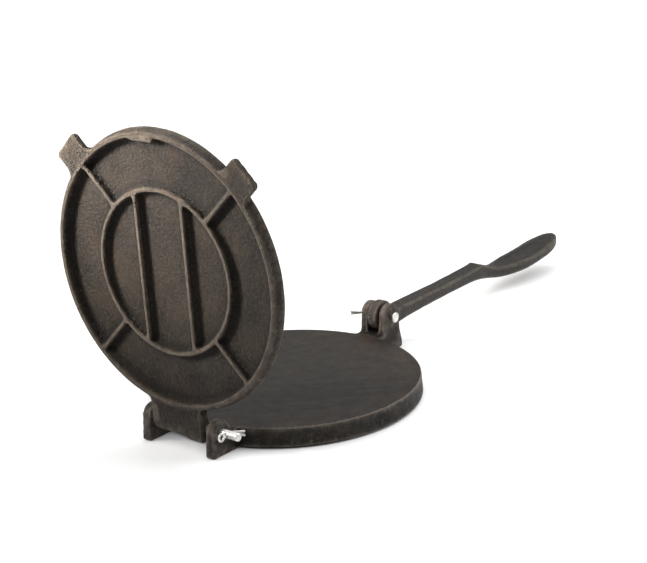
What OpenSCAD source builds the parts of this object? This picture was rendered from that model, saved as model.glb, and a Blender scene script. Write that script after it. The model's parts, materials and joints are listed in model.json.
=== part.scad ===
// Cast-iron hand press: a round base plate, a hinged ribbed lid and a swing-over lever.
// Millimetres. +X runs from the lid hinge to the lever, +Y to the far side, +Z up.
// The origin is the centre of the base plate's top (pressing) face.
// The press is drawn standing open: the lid just past upright, the lever swung outward.

/* [Plates] */
// Radius of the round pressing plates
plate_r = 101.6; // [98:0.1:103]
// Height of the base plate's rim wall
base_h = 15; // [13:0.5:17]
// Height of the base plate's top face above the surface it stands on
stand_h = 16.3; // [16:0.1:20]
// Thickness of the solid web under the base's pressing face
base_web = 5; // [4:0.5:8]
// Overall thickness of the lid
lid_t = 9.2; // [8.8:0.1:9.6]
// Depth of the pockets in the lid's back
pocket_d = 6.4; // [5:0.1:6.6]
// Gap between the two plates when the press is closed
plate_gap = 0.4; // [0.3:0.1:0.8]

/* [Ribs] */
// Width of the rim's land
rim_land = 3.8; // [3:0.1:6]
// Mean radius of the ring rib
ring_r = 58.7; // [50:0.1:65]
// Width of a rib at its land
rib_w = 2.8; // [2:0.1:4]
// Extra width that each rib and wall gains on a side down to the pocket floor
draft = 1.2; // [0.4:0.1:2]
// Distance of the two straight ribs from the middle
straight_rib_y = 21.3; // [18:0.1:26]
// How far the ribs stay below the rim's land
rib_drop = 1.6; // [1:0.1:2]

/* [Lid tabs and pad] */
// Radius to the tips of the two corner tabs
tab_r = 116.3; // [112:0.1:120]
// Width of a tab
tab_w = 25.4; // [20:0.1:30]
// Thickness of a tab
tab_t = 4.5; // [3:0.1:5.5]
// Angle of each tab from the lid's middle line
tab_angle = 45; // [40:1:50]
// Length of the cast pad inside the rim
pad_l = 21; // [10:0.5:24]

/* [Lid hinge] */
// Distance of the hinge axis behind the plate's centre
hinge_x = 113.3; // [113:0.1:115]
// Height of the hinge axis above the pressing face
hinge_z = 1.8; // [1.4:0.1:2.2]
// Angle through which the lid stands open
open_angle = 92.1; // [90:0.1:96]
// Distance from the middle plane to the hinge tongue's near side
tongue_near = 22; // [20:0.1:25]
// Distance from the middle plane to the hinge tongue's far side
tongue_far = 24.8; // [20:0.1:25.5]
// Distance from the middle plane to a hinge ear's inner face
ear_in_y = 26.5; // [26:0.1:28]
// Thickness of a hinge ear
ear_t = 7.5; // [6:0.1:10]
// Radius of the hinge pin
hinge_pin_r = 3; // [2.5:0.1:3.2]

/* [Lever] */
// Distance of the lever pivot from the plate's centre
pivot_x = 119; // [118:0.1:120]
// Height of the lever pivot above the pressing face
pivot_z = 12.6; // [12.4:0.1:14]
// Radius of the lever's eye
eye_r = 12; // [11.5:0.1:12.4]
// Thickness of the lever's eye between the clevis ears
eye_t = 8.6; // [8:0.1:10.4]
// Radius of the lever pin
lever_pin_r = 2.5; // [2:0.1:3]
// Width of the lever's arm
arm_w = 15; // [12:0.5:18]
// Distance of the lever's tip from the plate's centre
tip_x = 386; // [382:1:388]
// Width of the spoon-shaped grip
grip_w = 28; // [24:0.5:30]

/* [Clevis] */
// Width of the slot for the lever's eye
slot_w = 10.9; // [10.8:0.1:12]
// Width over the two clevis ears
clevis_w = 23.7; // [22:0.1:26]
// Radius of a clevis ear's round top
clevis_r = 9.4; // [9:0.1:9.8]

/* [Hidden] */
$fn = 96;

iron = "#3a322c";
worn_iron = "#463c35";
zinc = "#d9d9d6";

eps = 0.01;                             // overlap where solids are joined
running = 0.1;                          // radial clearance of a pin in its bore
split_fit = 0.05;                       // radial clearance of a split pin in its hole
edge_r = 0.7;                           // broken edge of a pressing face
side_draft = 0.9;                       // how much the base's wall widens downward
lid_draft = 2.4;                        // how much the lid's wall narrows to its back
parting_h = 0.8;                        // height of the lid's widest circle above its face
fillet_r = 2;                           // fillet between the lid's rim and its pocket floor

lid_z0 = plate_gap;                     // the closed lid's pressing face
lid_z1 = plate_gap + lid_t;             // the closed lid's back
pocket_z = lid_z1 - pocket_d;           // the closed lid's pocket floor
rim_r = plate_r - lid_draft - rim_land; // inner radius of the lid's rim land
rib_h = pocket_d - rib_drop;            // height of the lid's ribs
rim_wall = 5;                           // thickness of the base's rim at its foot
base_rim_r = plate_r + side_draft - rim_wall;
pad_y0 = -2;                            // near end of the cast pad inside the rim
pad_reach = 3.6;                        // how far the pad stands in from the rim's land

ear_r = 8.6;                            // radius of a hinge ear's round top
ear_lean = 0.8;                         // how far the round top is forward of the hinge axis
ear_sink = 0.3;                         // how far the round top is below the hinge axis
ear_heel = 9.4;                         // from the hinge axis back to an ear's rear foot
ear_toe = 16;                           // from the hinge axis forward to the foot's end
ear_gap = 1.3;                          // gap between an ear's slope and the closed lid
foot_r = 1.4;                           // broken edges of the feet
ear_out_y = ear_in_y + ear_t;
knuckle_r = 6;                          // radius of the lid tongue round the hinge pin
tongue_top = lid_z1 - 0.6;              // the tongue's flat face on the closed lid
tongue_gap = 0.2;                       // how far its underside is above the pressing face
tongue_end = 7.9;                       // from the hinge axis to the tongue's end
tongue_corner = 6;                      // rounding of the tongue's far corner in plan
end_r = 4;                              // rounding of the tongue's end in profile
heel_pad = 2.2;                         // how much longer the tongue is on its near part
heel_pad_y = 8;                         // where that longer part starts
heel_corner = 2.5;                      // rounding of its corners in plan
hinge_head_r = 5.2;
hinge_head_t = 2.6;
hinge_tail = 16.7;                      // how far the hinge pin stands out of the near ear
hinge_split_y = -ear_out_y - 6.5;       // where the split pin crosses the hinge pin

clevis_back = 132.6;                    // rear end of the clevis block
clevis_top_z = pivot_z + 1;             // centre of an ear's round top
clevis_front = pivot_x - clevis_r;
clevis_toe = 1.6;                       // how far an ear's foot stands in front of its round
block_top = -0.5;                       // the block's top, just below the pressing face
slot_floor = -0.2;
foot_l = 16;                            // length of the foot under the clevis
shoulder_x = pivot_x + 14.6;            // where the lever's full width starts
lever_head_r = 4.1;
lever_head_t = 1.8;
lever_head_gap = 2.2;                   // the lever pin's head stands off the near ear
lever_tail = 8;                         // how far the lever pin stands out of the far ear
lever_split_y = clevis_w / 2 + 4;
split_r = 1.2;                          // half thickness of a closed split pin
leg_r = 0.85;                           // half thickness of one leg of a split pin
wire_r = 0.9;                           // half thickness of a split pin's wire at its eye
eye_mean_r = 2.6;                       // mean radius of a split pin's eye
split_gap = 0.3;                        // gap between a split pin's bends and its pin

// Points along a circle's arc from angle a0 to a1 in n steps
function arc(cx, cy, r, a0, a1, n) =
    [for (i = [0 : n]) let (a = a0 + (a1 - a0) * i / n) [cx + r * cos(a), cy + r * sin(a)]];

// Height of an arc that is level at x0, with height z0 there and radius r
function rise(x, x0, z0, r) = z0 + r - sqrt(r * r - (x - x0) * (x - x0));

// Outline round two circles, with straight sides tangent to both
module link2d(c1, r1, c2, r2) {
    d = c2 - c1;
    along = atan2(d.y, d.x);
    side = acos((r1 - r2) / norm(d));
    function at(c, r, a) = [c.x + r * cos(a), c.y + r * sin(a)];
    translate(c1) circle(r1);
    translate(c2) circle(r2);
    polygon([at(c1, r1, along + side), at(c1, r1, along - side),
             at(c2, r2, along - side), at(c2, r2, along + side)]);
}

// A rectangle from x0 to x1 and y0 to y1 whose two corners at x0 are rounded by r
module slab_2d(x0, x1, y0, y1, r) {
    translate([x0 + r, y0]) square([x1 - x0 - r, y1 - y0]);
    translate([x0, y0 + r]) square([x1 - x0, y1 - y0 - 2 * r]);
    for (y = [y0 + r, y1 - r])
        translate([x0 + r, y]) circle(r);
}

// A side profile drawn in X and Z, given a width in Y from y0 to y1
module side_extrude(y0, y1) {
    translate([0, y1, 0]) rotate([90, 0, 0]) linear_extrude(y1 - y0) children();
}

// A round rod along Y from y0 to y1
module y_rod(r, y0, y1) {
    translate([0, y0, 0]) rotate([-90, 0, 0]) cylinder(r = r, h = y1 - y0);
}

// A round rod between two points
module rod(p, q, r) {
    d = q - p;
    translate(p) rotate([0, acos(d.z / norm(d)), atan2(d.y, d.x)]) cylinder(r = r, h = norm(d));
}

// Section of a straight rib of height h, wider at its root
module rib_section(h) {
    half = rib_w / 2;
    polygon([[-half - draft, 0], [half + draft, 0], [half, h], [-half, h]]);
}

// A straight rib of height h that runs along X from x0 to x1
module straight_rib(x0, x1, h) {
    translate([x0, 0, 0]) rotate([90, 0, 90]) linear_extrude(x1 - x0) rib_section(h);
}

// The ring, the two straight ribs inside it and the four spokes, standing on z = 0
module rib_set(h, outer_r) {
    rotate_extrude($fn = 180) translate([ring_r, 0]) rib_section(h);
    half_chord = sqrt(ring_r * ring_r - straight_rib_y * straight_rib_y);
    for (side = [-1, 1])
        translate([0, side * straight_rib_y, 0]) straight_rib(-half_chord, half_chord, h);
    for (a = [45 : 90 : 315])
        rotate(a) straight_rib(ring_r, outer_r, h);
}

// Turned section of the base: a flat top over a deep rim, hollow underneath
module base_section() {
    bottom_r = plate_r + side_draft;
    wall_r = base_rim_r - draft;
    corner = 1;
    polygon(concat(
        [[0, 0]],
        arc(plate_r - edge_r, -edge_r, edge_r, 90, 0, 5),
        [[bottom_r, -base_h], [base_rim_r, -base_h],
         [wall_r, -base_web - corner], [wall_r - corner, -base_web], [0, -base_web]]));
}

// One hinge ear: round at the pin, with a slope down to the plate and a foot under it
module hinge_ear_2d() {
    top = [ear_lean - hinge_x, hinge_z - ear_sink];
    heel = -hinge_x - ear_heel;
    root = -sqrt(plate_r * plate_r - ear_in_y * ear_in_y);
    slope = 48;
    translate(top) circle(ear_r);
    polygon([[heel + foot_r, -stand_h], [heel, foot_r - stand_h], [top.x - ear_r, top.y], top,
             [top.x + ear_r * sin(slope), top.y + ear_r * cos(slope)],
             [root - ear_gap, -edge_r], [root + 4, -edge_r], [root + 6, -base_h],
             [ear_toe - hinge_x, -stand_h]]);
}

// The block outside the rim that carries the clevis ears and makes the third foot
module clevis_block() {
    root = plate_r - 6;
    side_extrude(-clevis_w / 2, clevis_w / 2)
        polygon([[root, -base_h], [root, -edge_r], [plate_r - 1, block_top],
                 [clevis_back - 3, block_top], [clevis_back - 0.4, -base_h + 5.5],
                 [clevis_back, foot_r - stand_h], [clevis_back - foot_r, -stand_h],
                 [clevis_back - foot_l, -stand_h], [plate_r + 1, -base_h]]);
}

module clevis_ears_2d() {
    back = pivot_x + clevis_r;
    translate([pivot_x, clevis_top_z]) circle(clevis_r);
    polygon([[clevis_front - clevis_toe, block_top - 1], [clevis_front, clevis_top_z],
             [back, clevis_top_z], [clevis_back - 3, block_top - 1]]);
}

module base_casting() {
    color(iron) difference() {
        union() {
            rotate_extrude($fn = 180) base_section();
            translate([0, 0, -base_web + eps]) mirror([0, 0, 1])
                rib_set(base_h - base_web - rib_drop + eps, base_rim_r + 1);
            for (y0 = [ear_in_y, -ear_out_y])
                side_extrude(y0, y0 + ear_t) hinge_ear_2d();
            clevis_block();
            side_extrude(-clevis_w / 2, clevis_w / 2) clevis_ears_2d();
        }
        // bores for the two pins
        translate([-hinge_x, 0, hinge_z])
            y_rod(hinge_pin_r + running, -ear_out_y - 1, ear_out_y + 1);
        translate([pivot_x, 0, pivot_z])
            y_rod(lever_pin_r + running, -clevis_w, clevis_w);
        // slot for the lever's eye and the root of its arm
        translate([clevis_front - clevis_toe - 1, -slot_w / 2, slot_floor])
            cube([clevis_back, slot_w, 3 * eye_r]);
    }
}

// Turned section of the closed lid, from its pressing face to the pocket floor and rim
module lid_section() {
    back_r = plate_r - lid_draft;
    floor_r = rim_r - draft;
    polygon(concat(
        [[0, lid_z0], [plate_r - edge_r - 0.3, lid_z0], [plate_r - 0.2, lid_z0 + 0.5],
         [plate_r, lid_z0 + parting_h]],
        arc(back_r - edge_r, lid_z1 - edge_r, edge_r, 10, 90, 5),
        [[rim_r + edge_r, lid_z1], [rim_r, lid_z1 - edge_r]],
        arc(floor_r - fillet_r, pocket_z + fillet_r, fillet_r, 0, -90, 6),
        [[0, pocket_z]]));
}

// A flat tab with round corners, standing out along X from the rim
module tab_2d() {
    corner = 3;
    flare = 3.2;
    half = tab_w / 2;
    root_r = plate_r - lid_draft;
    translate([rim_r + 1, -half]) square([tab_r - corner - rim_r - 1, tab_w]);
    translate([root_r - 2.5, -half + corner]) square([tab_r - root_r + 2.5, tab_w - 2 * corner]);
    for (side = [-1, 1])
        translate([tab_r - corner, side * (half - corner)]) circle(corner);
    polygon([[root_r - 3, -half - flare], [root_r + 3.5, -half], [root_r + 3.5, half],
             [root_r - 3, half + flare]]);
}

// Side profile of the hinge tongue on the closed lid; reach is how far it passes the axis
module tongue_2d(reach) {
    axis = [-hinge_x, hinge_z];
    end = [-hinge_x - reach + end_r, tongue_top - end_r];
    root = -rim_r - 0.5;
    under = lid_z0 + tongue_gap;
    link2d(axis, knuckle_r, end, end_r);
    polygon([[end.x, tongue_top], [root, tongue_top], [root, under], [-plate_r - 1, under],
             [-hinge_x + 0.9 * knuckle_r, hinge_z - 0.35 * knuckle_r], axis, end]);
}

module tongue() {
    intersection() {
        union() {
            side_extrude(-tongue_near, tongue_far) tongue_2d(tongue_end);
            side_extrude(-tongue_near, -heel_pad_y) tongue_2d(tongue_end + heel_pad);
        }
        union() {
            linear_extrude(2 * lid_z1, center = true)
                slab_2d(-hinge_x - tongue_end, 1 - rim_r, -tongue_near / 2 - heel_pad_y,
                        tongue_far, tongue_corner);
            linear_extrude(2 * lid_z1, center = true)
                slab_2d(-hinge_x - tongue_end - heel_pad, 1 - rim_r, -tongue_near,
                        -heel_pad_y, heel_corner);
        }
    }
}

module closed_lid() {
    difference() {
        union() {
            rotate_extrude($fn = 180) lid_section();
            translate([0, 0, pocket_z - eps]) rib_set(rib_h + eps, rim_r + 1);
            for (side = [-1, 1])
                rotate(side * tab_angle) translate([0, 0, lid_z1 - tab_t])
                    linear_extrude(tab_t) tab_2d();
            // cast pad against the inside of the rim
            intersection() {
                translate([rim_r - pad_reach, pad_y0, pocket_z - eps])
                    cube([2 * pad_reach, pad_l, pocket_d - edge_r / 2]);
                cylinder(r = rim_r + 1, h = lid_z1);
            }
            tongue();
        }
        translate([-hinge_x, 0, hinge_z])
            y_rod(hinge_pin_r + running, -ear_in_y, ear_in_y);
    }
}

module lid_casting() {
    color(worn_iron)
        translate([-hinge_x, 0, hinge_z]) rotate([0, -open_angle, 0])
            translate([hinge_x, 0, -hinge_z]) closed_lid();
}

// Side profile of the arm and grip: a flat bar, a wedge-shaped knee, a neck and a long
// shallow curve that rises to the tip
module lever_side_2d() {
    knee_x = 260;
    knee_z = 16.9;
    arm_z = 14.6;
    top_x = 320;
    top_z = 6;
    top_curve_r = 330;
    belly_x = 303;
    belly_z = -2.8;
    belly_curve_r = 430;
    steps = 14;
    polygon(concat(
        [[shoulder_x, 1.9], [shoulder_x, arm_z - 1.2], [shoulder_x + 3, arm_z - 0.3],
         [200, arm_z], [230, arm_z + 0.7], [knee_x - 15, arm_z + 1.3], [knee_x, knee_z],
         [knee_x + 6, knee_z - 2.3], [knee_x + 12, knee_z - 4.9], [knee_x + 19, knee_z - 7.6],
         [knee_x + 26, knee_z - 9.5], [knee_x + 34, knee_z - 10.5]],
        [for (i = [0 : steps]) let (x = top_x - 8 + (tip_x - top_x + 8) * i / steps)
            [x, rise(x, top_x, top_z, top_curve_r)]],
        [for (i = [steps : -1 : 0]) let (x = belly_x + (tip_x - belly_x) * i / steps)
            [x, rise(x, belly_x, belly_z, belly_curve_r)]],
        [[294, -2.5], [285, -1.6], [277, -0.1], [269, 1.7], [262, 3.4], [253, 4.9],
         [244, 5.6], [230, 5.7], [208, 5.4], [178, 4.6], [150, 3.5]]));
}

// Plan outline of the arm and grip
module lever_plan_2d() {
    arm = arm_w / 2;
    neck = arm - 0.6;
    grip = grip_w / 2;
    knee_x = 258;
    neck_x = 266;
    full_x = 328;
    tip_l = 34;
    round_x = tip_x - tip_l;
    swell = [for (i = [0 : 10]) let (t = i / 10, s = (1 - cos(180 * t)) / 2)
        [neck_x + (full_x - neck_x) * t, neck + (grip - neck) * s]];
    tip = [for (i = [0 : 10]) let (a = 9 * i) [round_x + tip_l * sin(a), grip * cos(a)]];
    edge = concat([[shoulder_x, arm], [knee_x, arm]], swell, tip);
    polygon(concat(edge, [for (i = [len(edge) - 2 : -1 : 0]) [edge[i].x, -edge[i].y]]));
}

// The thumb hollow: a ring-shaped cutter whose path is an arc that dips into the grip
// between two points of its top edge
module grip_hollow() {
    from = [287, 7.2];
    to = [tip_x - 3.5, 12.2];
    dip = 7.2;
    cutter_r = 18;
    half = norm(to - from) / 2;
    path_r = (half * half + dip * dip) / (2 * dip);
    across = [from.y - to.y, to.x - from.x] / (2 * half);
    centre = (from + to) / 2 + across * (path_r - dip);
    translate([centre.x, 0, centre.y]) rotate([90, 0, 0]) rotate(240)
        rotate_extrude(angle = 60, $fn = 360) translate([path_r - cutter_r, 0]) circle(cutter_r);
}

module lever_casting() {
    neck_x = shoulder_x + 1;
    color(iron) difference() {
        union() {
            side_extrude(-eye_t / 2, eye_t / 2) {
                translate([pivot_x, pivot_z]) circle(eye_r);
                polygon([[pivot_x, pivot_z], [pivot_x + 1, pivot_z + eye_r - 0.2],
                         [neck_x, 13.8], [neck_x, 2.2], [pivot_x + 3, pivot_z - eye_r + 0.6]]);
            }
            intersection() {
                side_extrude(-grip_w, grip_w) lever_side_2d();
                translate([0, 0, -10]) linear_extrude(40) lever_plan_2d();
            }
        }
        translate([pivot_x, 0, pivot_z]) y_rod(lever_pin_r + running, -eye_t, eye_t);
        grip_hollow();
    }
}

// A pin along Y from y0 to y1 with a head between head_y0 and head_y1 and a cross hole for a
// split pin at split_y
module headed_pin(r, y0, y1, head_r, head_y0, head_y1, split_y) {
    difference() {
        union() {
            y_rod(r, y0, y1);
            y_rod(head_r, head_y0, head_y1);
        }
        translate([0, split_y, 0]) rotate([0, 90, 0])
            cylinder(r = split_r + split_fit, h = 6 * r, center = true);
    }
}

module hinge_pin() {
    head_y = ear_out_y + 0.2;
    color(zinc) translate([-hinge_x, 0, hinge_z])
        headed_pin(hinge_pin_r, -ear_out_y - hinge_tail, head_y + 1,
                   hinge_head_r, head_y, head_y + hinge_head_t, hinge_split_y);
}

module lever_pin() {
    near = -clevis_w / 2 - lever_head_gap;
    color(zinc) translate([pivot_x, 0, pivot_z])
        headed_pin(lever_pin_r, near - 1, clevis_w / 2 + lever_tail,
                   lever_head_r, near - lever_head_t, near, lever_split_y);
}

// A split pin in a cross hole along X: a wire eye at its -X end, a round shank, and two legs
// that open by spread and are bent towards -Y by the angle bend where they leave the hole
module split_pin(pin_r, leg_l, bend, spread) {
    eye_x = -pin_r - split_gap - wire_r - eye_mean_r;
    shank_x = eye_x + eye_mean_r;
    bend_x = pin_r + split_gap + leg_r;
    apart = 0.3;
    translate([shank_x, 0, 0]) rotate([0, 90, 0])
        cylinder(r = split_r, h = bend_x + 0.3 - shank_x);
    translate([eye_x, 0, 0]) rotate([90, 0, 0])
        rotate_extrude() translate([eye_mean_r, 0]) circle(wire_r);
    for (up = [-1, 1]) {
        root = [bend_x, 0, up * apart];
        rod(root, root + leg_l * [cos(bend), -sin(bend), up * spread], leg_r);
    }
}

module hinge_split_pin() {
    color(zinc) translate([-hinge_x, hinge_split_y, hinge_z])
        split_pin(hinge_pin_r, 9.5, 66, 0.13);
}

module lever_split_pin() {
    color(zinc) translate([pivot_x, lever_split_y, pivot_z])
        rotate(180) split_pin(lever_pin_r, 9, 50, 0.09);
}

base_casting();
lid_casting();
lever_casting();
hinge_pin();
hinge_split_pin();
lever_pin();
lever_split_pin();
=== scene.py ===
"""Looks for the hinged cast-iron patty press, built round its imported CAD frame.

Each piece is a softened copy of one CAD solid: its inside corners are filled, its edges are
rounded, and a casting's skin is left a little uneven. Lengths are in metres.
"""

import json
import math

import bpy
import numpy as np
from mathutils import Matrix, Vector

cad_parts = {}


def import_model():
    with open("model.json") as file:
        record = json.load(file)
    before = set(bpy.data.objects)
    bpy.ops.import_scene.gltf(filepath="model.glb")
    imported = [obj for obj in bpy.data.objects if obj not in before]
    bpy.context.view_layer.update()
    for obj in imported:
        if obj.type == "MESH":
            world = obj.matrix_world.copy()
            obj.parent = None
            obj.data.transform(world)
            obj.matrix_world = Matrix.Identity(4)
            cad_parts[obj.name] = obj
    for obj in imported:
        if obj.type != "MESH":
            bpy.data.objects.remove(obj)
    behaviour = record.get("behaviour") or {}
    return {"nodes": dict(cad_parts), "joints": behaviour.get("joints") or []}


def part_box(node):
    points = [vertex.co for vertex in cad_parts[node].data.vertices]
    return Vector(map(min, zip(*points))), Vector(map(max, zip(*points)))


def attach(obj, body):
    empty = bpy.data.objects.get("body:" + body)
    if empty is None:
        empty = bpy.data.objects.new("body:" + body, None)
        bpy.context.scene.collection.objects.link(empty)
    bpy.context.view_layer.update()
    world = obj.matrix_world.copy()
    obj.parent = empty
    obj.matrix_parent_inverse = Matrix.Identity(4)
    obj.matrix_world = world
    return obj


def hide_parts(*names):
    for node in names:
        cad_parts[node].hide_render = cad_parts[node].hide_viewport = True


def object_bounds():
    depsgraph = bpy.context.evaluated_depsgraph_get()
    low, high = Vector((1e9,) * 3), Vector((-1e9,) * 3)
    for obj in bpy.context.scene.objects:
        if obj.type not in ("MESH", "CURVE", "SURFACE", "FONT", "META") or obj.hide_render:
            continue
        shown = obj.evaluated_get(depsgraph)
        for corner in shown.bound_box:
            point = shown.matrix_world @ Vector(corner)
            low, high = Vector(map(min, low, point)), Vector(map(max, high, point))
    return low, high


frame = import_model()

import openvdb
from mathutils import Matrix, Vector, noise

MM = 0.001
cad_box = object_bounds()
floor_z = cad_box[0][2]
hinge = next(j for j in frame["joints"] if j["name"] == "lid_hinge")
hinge_at = np.array(hinge["pos_m"])
lid_angle = math.radians(-min(hinge["range_deg"]))
plate_r = (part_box("lid_casting")[1][1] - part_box("lid_casting")[0][1]) / 2


def add_object(name, data):
    obj = bpy.data.objects.new(name, data)
    bpy.context.scene.collection.objects.link(obj)
    return obj


# ---------------------------------------------------------------- camera
# The camera of the photo. It aims past the origin by AIM_RIGHT and AIM_UP across its view.
AZIMUTH, ELEVATION, ROLL = (math.radians(a) for a in (-51.0, 18.106, -2.535))
FOCAL_MM, SENSOR_MM = 95.008, 36
DISTANCE, NEAR_CLIP = 1.28811, 0.05
AIM_RIGHT, AIM_UP = 0.02762, 0.07032


def camera():
    look = Vector((-math.sin(AZIMUTH) * math.cos(ELEVATION),
                   math.cos(AZIMUTH) * math.cos(ELEVATION), -math.sin(ELEVATION)))
    level = Vector((math.cos(AZIMUTH), math.sin(AZIMUTH), 0))
    back = -look
    steep = back.cross(level)
    right = level * math.cos(ROLL) + steep * math.sin(ROLL)
    up = back.cross(right)
    data = bpy.data.cameras.new("camera")
    data.lens, data.sensor_width, data.clip_start = FOCAL_MM, SENSOR_MM, NEAR_CLIP
    obj = add_object("camera", data)
    turn = Matrix((right, up, back)).transposed().to_4x4()
    place = right * AIM_RIGHT + up * AIM_UP + back * DISTANCE
    obj.matrix_world = Matrix.Translation(place) @ turn
    bpy.context.scene.camera = obj


camera()


# ---------------------------------------------------------------- node helpers
class Nodes:
    """A material's node tree with short calls for the nodes used here."""

    def __init__(self, name):
        self.material = bpy.data.materials.new(name)
        self.material.use_nodes = True
        self.tree = self.material.node_tree
        self.shader = self.tree.nodes["Principled BSDF"]
        self.place = self.new("ShaderNodeTexCoord").outputs["Object"]

    def new(self, kind, **values):
        node = self.tree.nodes.new(kind)
        for key, value in values.items():
            setattr(node, key, value)
        return node

    def link(self, source, target):
        self.tree.links.new(source, target)

    def feed(self, socket, value):
        if isinstance(value, bpy.types.NodeSocket):
            self.link(value, socket)
        else:
            socket.default_value = value

    def noise(self, scale, detail=4, rough=0.55, vector=None):
        """Noise of about `scale` features per metre."""
        node = self.new("ShaderNodeTexNoise")
        self.link(vector or self.place, node.inputs["Vector"])
        node.inputs["Scale"].default_value = scale
        node.inputs["Detail"].default_value = detail
        node.inputs["Roughness"].default_value = rough
        return node.outputs["Fac"]

    def cells(self, scale):
        node = self.new("ShaderNodeTexVoronoi")
        self.link(self.place, node.inputs["Vector"])
        node.inputs["Scale"].default_value = scale
        return node.outputs["Distance"]

    def stretch(self, factors, vector=None):
        node = self.new("ShaderNodeVectorMath", operation="MULTIPLY")
        self.link(vector or self.place, node.inputs[0])
        node.inputs[1].default_value = factors
        return node.outputs[0]

    def attribute(self, name):
        return self.new("ShaderNodeAttribute", attribute_name=name).outputs["Fac"]

    def math(self, operation, a, b):
        node = self.new("ShaderNodeMath", operation=operation)
        self.feed(node.inputs[0], a)
        self.feed(node.inputs[1], b)
        return node.outputs[0]

    def span(self, value, low, high, to_low=0.0, to_high=1.0):
        """Maps low..high to to_low..to_high, and holds what lies outside at the ends."""
        node = self.new("ShaderNodeMapRange", clamp=True)
        self.link(value, node.inputs["Value"])
        for key, number in zip(("From Min", "From Max", "To Min", "To Max"),
                               (low, high, to_low, to_high)):
            node.inputs[key].default_value = number
        return node.outputs["Result"]

    def pointiness(self, low, high, to_low=0.0, to_high=1.0):
        """Over 0.5 on an outside edge and under it in an inside corner."""
        geometry = self.new("ShaderNodeNewGeometry")
        return self.span(geometry.outputs["Pointiness"], low, high, to_low, to_high)

    def mix(self, factor, a, b):
        node = self.new("ShaderNodeMix", data_type="RGBA")
        self.feed(node.inputs["Factor"], factor)
        for socket, value in ((node.inputs[6], a), (node.inputs[7], b)):
            self.feed(socket, value if isinstance(value, bpy.types.NodeSocket) else (*value, 1))
        return node.outputs[2]

    def bump(self, layers):
        """layers: (height, distance, strength), the coarsest first."""
        normal = None
        for height, distance, strength in layers:
            node = self.new("ShaderNodeBump")
            self.link(height, node.inputs["Height"])
            node.inputs["Distance"].default_value = distance
            node.inputs["Strength"].default_value = strength
            if normal:
                self.link(normal, node.inputs["Normal"])
            normal = node.outputs["Normal"]
        self.link(normal, self.shader.inputs["Normal"])


# ---------------------------------------------------------------- materials
DARK, LIGHT = (0.0030, 0.0023, 0.0017), (0.0130, 0.0100, 0.0074)
RUST = (0.026, 0.0145, 0.008)
LID_DARK, LID_LIGHT = (0.0040, 0.0029, 0.0020), (0.025, 0.0186, 0.0130)
LID_RUST = (0.036, 0.020, 0.011)
FACE_DARK, FACE_LIGHT = (0.0034, 0.0026, 0.0020), (0.0160, 0.0127, 0.0098)
BRIGHT_ZINC, DULL_ZINC, GRIME = (0.70, 0.70, 0.68), (0.46, 0.45, 0.42), (0.20, 0.18, 0.155)


def cast_iron(name, dark, light, worn_and_highlit, rust, rough, gloss):
    """Seasoned sand-cast iron: mottled oil skin, open grain with darker pits, bared edges
    brightened further by a painted highlight, bared lands, and painted shade in the inside
    corners.
    """
    n = Nodes(name)
    # the skin: blotches, a grain whose peaks are rubbed, dark specks and brown patches
    grain = n.noise(520, 5, 0.68)
    colour = n.mix(n.span(n.noise(28, 5, 0.6), 0.34, 0.68), dark, light)
    peak = n.mix(0.2, light, worn_and_highlit)
    colour = n.mix(n.span(grain, 0.46, 0.66, 0.0, 0.8), colour, peak)
    colour = n.mix(n.span(n.noise(390, 3), 0.30, 0.46, 0.85, 0.0), colour, dark)
    patch = n.math("MULTIPLY", n.span(n.noise(46, 6, 0.65), 0.54, 0.74), 0.5)
    colour = n.mix(patch, colour, rust)
    # wear, broken along the edges and fuller on the lands; along the edges it is also a painted
    # highlight
    # painted highlight and wear: outside edges (high pointiness) mixed towards the worn colour
    edge = n.math("MULTIPLY", n.pointiness(0.5008, 0.514),
                  n.span(n.noise(160, 4), 0.3, 0.62, 0.15, 0.8))
    land = n.math("MULTIPLY", n.attribute("land"),
                  n.span(n.noise(110, 5), 0.3, 0.65, 0.35, 1.0))
    bare_and_highlit = n.math("MAXIMUM", edge, land)
    colour = n.mix(bare_and_highlit, colour, worn_and_highlit)
    # painted shade in the inside corners, and the pits darker
    # painted shade: inside corners (low pointiness) mixed towards the dark colour
    colour = n.mix(n.pointiness(0.484, 0.4992, 0.8, 0.0), colour, dark)
    pits = n.span(n.cells(420), 0.0, 0.28)
    colour = n.mix(n.span(pits, 0.0, 1.0, 0.45, 0.0), colour, dark)
    n.link(colour, n.shader.inputs["Base Color"])
    sheen = n.span(n.noise(210, 6, 0.7), 0.3, 0.7, *rough)
    n.link(n.math("SUBTRACT", sheen, n.math("MULTIPLY", bare_and_highlit, 0.1)),
           n.shader.inputs["Roughness"])
    n.shader.inputs["Specular IOR Level"].default_value = gloss
    n.bump([(n.noise(170, 4), 0.4 * MM, 0.5), (pits, 0.6 * MM, 0.6), (grain, 2.2 * MM, 1.0)])
    return n.material


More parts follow.
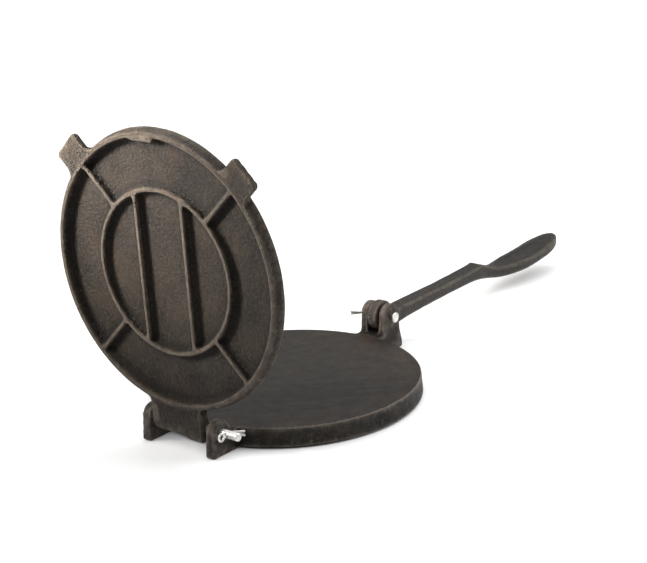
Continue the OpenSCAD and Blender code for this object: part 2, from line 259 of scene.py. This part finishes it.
def machined_iron(name, plane):
    """A turned pressing face under its seasoning: tool arcs, wiping streaks, brown near the
    edge. plane has a 1 for each of the two axes that the face lies along."""
    wiping_angle = math.radians(52)
    n = Nodes(name)
    length = n.new("ShaderNodeVectorMath", operation="LENGTH")
    n.link(n.stretch(plane), length.inputs[0])
    radius = length.outputs["Value"]
    turned = n.new("ShaderNodeCombineXYZ")
    n.link(radius, turned.inputs[0])
    arcs = n.noise(1400, 3, 0.6, turned.outputs[0])
    wiped = n.new("ShaderNodeVectorRotate", rotation_type="Z_AXIS")
    n.link(n.place, wiped.inputs["Vector"])
    wiped.inputs["Angle"].default_value = wiping_angle
    streak = n.noise(26, 6, 0.7, n.stretch((1, 9, 1), wiped.outputs[0]))
    colour = n.mix(n.span(streak, 0.38, 0.64), FACE_DARK, FACE_LIGHT)
    colour = n.mix(n.span(arcs, 0.3, 0.7, 0.0, 0.35), colour, FACE_LIGHT)
    outer = n.span(radius, 0.55 * plate_r, 0.98 * plate_r)
    stain = n.math("MULTIPLY", outer, n.span(n.noise(38, 6, 0.6), 0.42, 0.66))
    colour = n.mix(n.math("MULTIPLY", stain, 0.7), colour, RUST)
    n.link(colour, n.shader.inputs["Base Color"])
    n.link(n.span(n.noise(90, 6, 0.7), 0.3, 0.7, 0.42, 0.6), n.shader.inputs["Roughness"])
    n.shader.inputs["Specular IOR Level"].default_value = 0.16
    n.bump([(n.noise(60, 3), 0.4 * MM, 0.25), (arcs, 0.06 * MM, 0.5),
            (n.noise(1100, 4, 0.7), 0.12 * MM, 0.5)])
    return n.material


def zinc(name):
    """Bright zinc plate on steel wire and bar, with drawing marks and dull patches."""
    n = Nodes(name)
    cloud = n.noise(260, 5, 0.6)
    drawn = n.noise(1500, 3, 0.5, n.stretch((1.0, 0.06, 1.0)))
    colour = n.mix(n.span(cloud, 0.35, 0.7), BRIGHT_ZINC, DULL_ZINC)
    colour = n.mix(n.span(n.noise(420, 4), 0.62, 0.8, 0.0, 0.5), colour, GRIME)
    n.link(colour, n.shader.inputs["Base Color"])
    n.shader.inputs["Metallic"].default_value = 1.0
    n.link(n.span(cloud, 0.3, 0.7, 0.28, 0.45), n.shader.inputs["Roughness"])
    n.bump([(drawn, 0.08 * MM, 0.5), (n.noise(2600, 3), 0.04 * MM, 0.4)])
    return n.material


base_skin = cast_iron("base_cast_skin", DARK, LIGHT, worn_and_highlit=(0.12, 0.100, 0.082), rust=RUST,
                      rough=(0.46, 0.64), gloss=0.17)
lid_skin = cast_iron("lid_cast_skin", LID_DARK, LID_LIGHT, worn_and_highlit=(0.088, 0.070, 0.054),
                     rust=LID_RUST, rough=(0.42, 0.60), gloss=0.13)
lever_skin = cast_iron("lever_cast_skin", DARK, LIGHT, worn_and_highlit=(0.11, 0.087, 0.066), rust=RUST,
                       rough=(0.36, 0.54), gloss=0.33)
base_face = machined_iron("base_pressing_face", plane=(1, 1, 0))
lid_face = machined_iron("lid_pressing_face", plane=(0, 1, 1))
zinc_skin = zinc("zinc_plate")


# ---------------------------------------------------------------- castings
# How each CAD solid is softened: the voxel, the radius that its inside corners are filled
# to, the radius that its edges are rounded to, and how far flat areas may be simplified
PLATE_VOXEL = 0.6 * MM
SOFTNESS = {
    "base_casting": (PLATE_VOXEL, 1.8 * MM, 0.3 * MM, 0.02),
    "lid_casting": (PLATE_VOXEL, 2.2 * MM, 0.6 * MM, 0.02),
    "lever_casting": (0.5 * MM, 1.5 * MM, 1.3 * MM, 0.0),
    "hinge_pin": (0.25 * MM, 0.3 * MM, 0.55 * MM, 0.0),
    "lever_pin": (0.25 * MM, 0.3 * MM, 0.55 * MM, 0.0),
    "hinge_split_pin": (0.2 * MM, 0.35 * MM, 0.35 * MM, 0.0),
    "lever_split_pin": (0.2 * MM, 0.35 * MM, 0.35 * MM, 0.0),
}
FLAT = 0.25 * MM                # a point this near a pressing face's plane is on the face


def level_set(points, faces, voxel, reach):
    """Level set of a mesh given as triangles, or as the (triangles, quads) of another one."""
    tris, quads = faces if isinstance(faces, tuple) else (faces, None)
    made_of = {"triangles": tris} if quads is None else {"triangles": tris, "quads": quads}
    return openvdb.FloatGrid.createLevelSetFromPolygons(
        points, transform=openvdb.createLinearTransform(voxel), halfWidth=reach / voxel + 2,
        **made_of)


def softened(points, tris, voxel, inner, outer, adapt):
    """The solid with its inside corners filled to radius inner and its edges to radius outer."""
    grid = level_set(points, tris, voxel, inner)
    points, tris, quads = grid.convertToPolygons(isovalue=inner, adaptivity=0)
    grid = level_set(points, (tris, quads), voxel, inner + outer)
    points, tris, quads = grid.convertToPolygons(isovalue=-(inner + outer), adaptivity=0)
    grid = level_set(points, (tris, quads), voxel, outer)
    return grid.convertToPolygons(isovalue=outer, adaptivity=adapt)


def turn_lid(points, open_again=False):
    """Turns points of the open lid to where they are on the closed lid, or back."""
    c, s = math.cos(lid_angle), math.sin(lid_angle) * (-1 if open_again else 1)
    x, y, z = (points - hinge_at).T
    return np.c_[c * x + s * z, y, c * z - s * x] + hinge_at


def piece_from(node, name, materials, lid=False):
    """A softened copy of a CAD node; the lid's is left closed, square to the axes."""
    mesh = frame["nodes"][node].data
    mesh.calc_loop_triangles()
    points = np.empty(len(mesh.vertices) * 3, np.float32)
    tris = np.empty(len(mesh.loop_triangles) * 3, np.int32)
    mesh.vertices.foreach_get("co", points)
    mesh.loop_triangles.foreach_get("vertices", tris)
    points = points.reshape(-1, 3)
    if lid:
        points = turn_lid(points)
    points, tris, quads = softened(points.astype(np.float32),
                                   tris.reshape(-1, 3).astype(np.uint32), *SOFTNESS[node])
    faces = [tuple(map(int, face[::-1])) for part in (quads, tris) for face in part]
    made = bpy.data.meshes.new(name)
    made.from_pydata(points.tolist(), [], faces)
    made.update()
    made.polygons.foreach_set("use_smooth", [True] * len(made.polygons))
    for material in materials:
        made.materials.append(material)
    return add_object(name, made)


def from_axis(points):
    """Distance from the plates' common axis, for the base and for the closed lid."""
    return np.hypot(points[:, 0], points[:, 1])


def vertex_arrays(mesh):
    co = np.empty(len(mesh.vertices) * 3)
    no = np.empty(len(mesh.vertices) * 3)
    mesh.vertices.foreach_get("co", co)
    mesh.vertices.foreach_get("normal", no)
    return co.reshape(-1, 3), no.reshape(-1, 3)


def cast_surface(mesh, still, depth):
    """Lets the skin sink a little and unevenly, as a sand mould leaves it, but not where still."""
    co, no = vertex_arrays(mesh)
    for i in np.flatnonzero(~still):
        p = Vector(co[i])
        wave = noise.noise(p * 90) * 0.6 + noise.noise(p * 330) * 0.4
        co[i] -= no[i] * depth * (0.5 + 0.5 * max(-1.0, min(1.0, 1.6 * wave)))
    mesh.vertices.foreach_set("co", co.ravel())
    mesh.update()


def set_land(mesh, value):
    """How far each point's skin is rubbed down to bare iron; round the base's pressing face it is
    also a painted highlight.
    """
    layer = mesh.attributes.new("land", "FLOAT", "POINT")
    layer.data.foreach_set("value", value.astype(np.float32))


def second_material(mesh, on):
    """Gives the mesh's second material to the faces whose centres and normals are on."""
    centre = np.empty(len(mesh.polygons) * 3)
    normal = np.empty(len(mesh.polygons) * 3)
    mesh.polygons.foreach_get("center", centre)
    mesh.polygons.foreach_get("normal", normal)
    chosen = on(centre.reshape(-1, 3), normal.reshape(-1, 3))
    mesh.polygons.foreach_set("material_index", chosen.astype(np.int32))
    mesh.update()


def finish_piece(piece, node, body):
    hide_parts(node)
    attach(piece, body)


def base_piece():
    """The base, with wear and a painted highlight round the edge of its pressing face, which stays
    flat.
    """
    edge_in, edge_mark_width, skin = 0.3 * MM, 0.4 * MM, 0.18 * MM
    base = piece_from("base_casting", "base_cast_plate", [base_skin, base_face])
    co, _ = vertex_arrays(base.data)
    on_face = (abs(co[:, 2]) < FLAT) & (from_axis(co) < plate_r)
    to_edge = np.hypot(from_axis(co) - plate_r + edge_in, co[:, 2] + edge_in)
    # wear and a painted highlight along the edge of the pressing face
    set_land(base.data, np.clip(3 - to_edge / edge_mark_width, 0, 2))
    cast_surface(base.data, on_face, skin)
    second_material(base.data, lambda c, n: (n[:, 2] > 0.9) & (abs(c[:, 2]) < 0.3 * MM)
                    & (from_axis(c) < plate_r))
    finish_piece(base, "base_casting", "base")


def lid_piece():
    """The lid, rubbed on the lands of the ribs inside its rim. It is made closed."""
    rim_w, fade, land_depth, skin = 3.4 * MM, 1.6 * MM, 2.6 * MM, 0.2 * MM
    lid = piece_from("lid_casting", "lid_cast_plate", [lid_skin, lid_face], lid=True)
    co, no = vertex_arrays(lid.data)
    face_z, back_z = co[:, 2].min(), co[:, 2].max()
    inside = np.clip((plate_r - rim_w - from_axis(co)) / fade, 0, 1)
    level = np.clip((no[:, 2] - 0.7) * 5, 0, 1)
    set_land(lid.data, inside * level * (co[:, 2] > back_z - land_depth))
    cast_surface(lid.data, abs(co[:, 2] - face_z) < FLAT, skin)
    second_material(lid.data, lambda c, n: (n[:, 2] < -0.9) & (from_axis(c) < plate_r))
    co, _ = vertex_arrays(lid.data)
    lid.data.vertices.foreach_set("co", turn_lid(co, open_again=True).ravel())
    lid.data.update()
    finish_piece(lid, "lid_casting", "lid")


def lever_piece():
    """The lever, cast all over."""
    lever = piece_from("lever_casting", "lever_cast_arm", [lever_skin])
    points = len(lever.data.vertices)
    set_land(lever.data, np.zeros(points))
    cast_surface(lever.data, np.zeros(points, bool), 0.2 * MM)
    finish_piece(lever, "lever_casting", "lever")


base_piece()
lid_piece()
lever_piece()
for node, made_of in (("hinge_pin", "steel"), ("lever_pin", "steel"),
                      ("hinge_split_pin", "wire"), ("lever_split_pin", "wire")):
    pin = piece_from(node, f"{node}_{made_of}", [zinc_skin])
    finish_piece(pin, node, "base")


# ---------------------------------------------------------------- floor and light
WHITE = (1, 1, 1)


def floor():
    half = 12
    n = Nodes("floor_paper")
    n.link(n.mix(n.noise(3, 3), (0.90, 0.90, 0.90), (0.93, 0.93, 0.93)),
           n.shader.inputs["Base Color"])
    n.shader.inputs["Roughness"].default_value = 0.9
    n.shader.inputs["Specular IOR Level"].default_value = 0.1
    corners = ((-half, -half), (half, -half), (half, half), (-half, half))
    mesh = bpy.data.meshes.new("floor")
    mesh.from_pydata([(x, y, floor_z) for x, y in corners], [], [(0, 1, 2, 3)])
    mesh.materials.append(n.material)
    add_object("floor", mesh)


def facing(direction):
    """The rotation that points a lamp, which shines along its own -Z."""
    return Vector(direction).to_track_quat("-Z", "Y").to_euler()


def overhead():
    data = bpy.data.lights.new("overhead", "SUN")
    data.energy, data.angle = 3.9, math.radians(110)
    add_object("overhead", data).rotation_euler = facing((-0.05, -0.1, -1))


def area(name, place, aim, size, watts, spread=180, colour=WHITE):
    data = bpy.data.lights.new(name, "AREA")
    data.shape = "RECTANGLE"
    data.size, data.size_y = size
    data.energy, data.spread, data.color = watts, math.radians(spread), colour
    lamp = add_object(name, data)
    lamp.location = place
    lamp.rotation_euler = facing(Vector(aim) - Vector(place))


def world(strength):
    made = bpy.data.worlds.new("world")
    made.use_nodes = True
    background = made.node_tree.nodes["Background"]
    background.inputs[0].default_value = (*WHITE, 1)
    background.inputs[1].default_value = strength
    bpy.context.scene.world = made


floor()
overhead()
# the key and the grid graze the lid's back from the far side
area("key", place=(-0.45, 0.68, 0.29), aim=(-0.12, 0.02, 0.13), size=(0.6, 0.6), watts=0.7)
area("grid", place=(-0.46, 0.45, 0.37), aim=(-0.12, 0.10, 0.225), size=(0.16, 0.16), watts=1.4,
     spread=32, colour=(1, 0.95, 0.88))
area("back", place=(1.5, 1.2, 0.75), aim=(0.1, 0, 0), size=(1.4, 0.5), watts=0.7)
area("fill", place=(1.05, -1.25, 0.6), aim=(0, 0, 0.03), size=(0.8, 0.6), watts=13)
world(strength=0.16)
bpy.context.scene.view_settings.view_transform = "Standard"
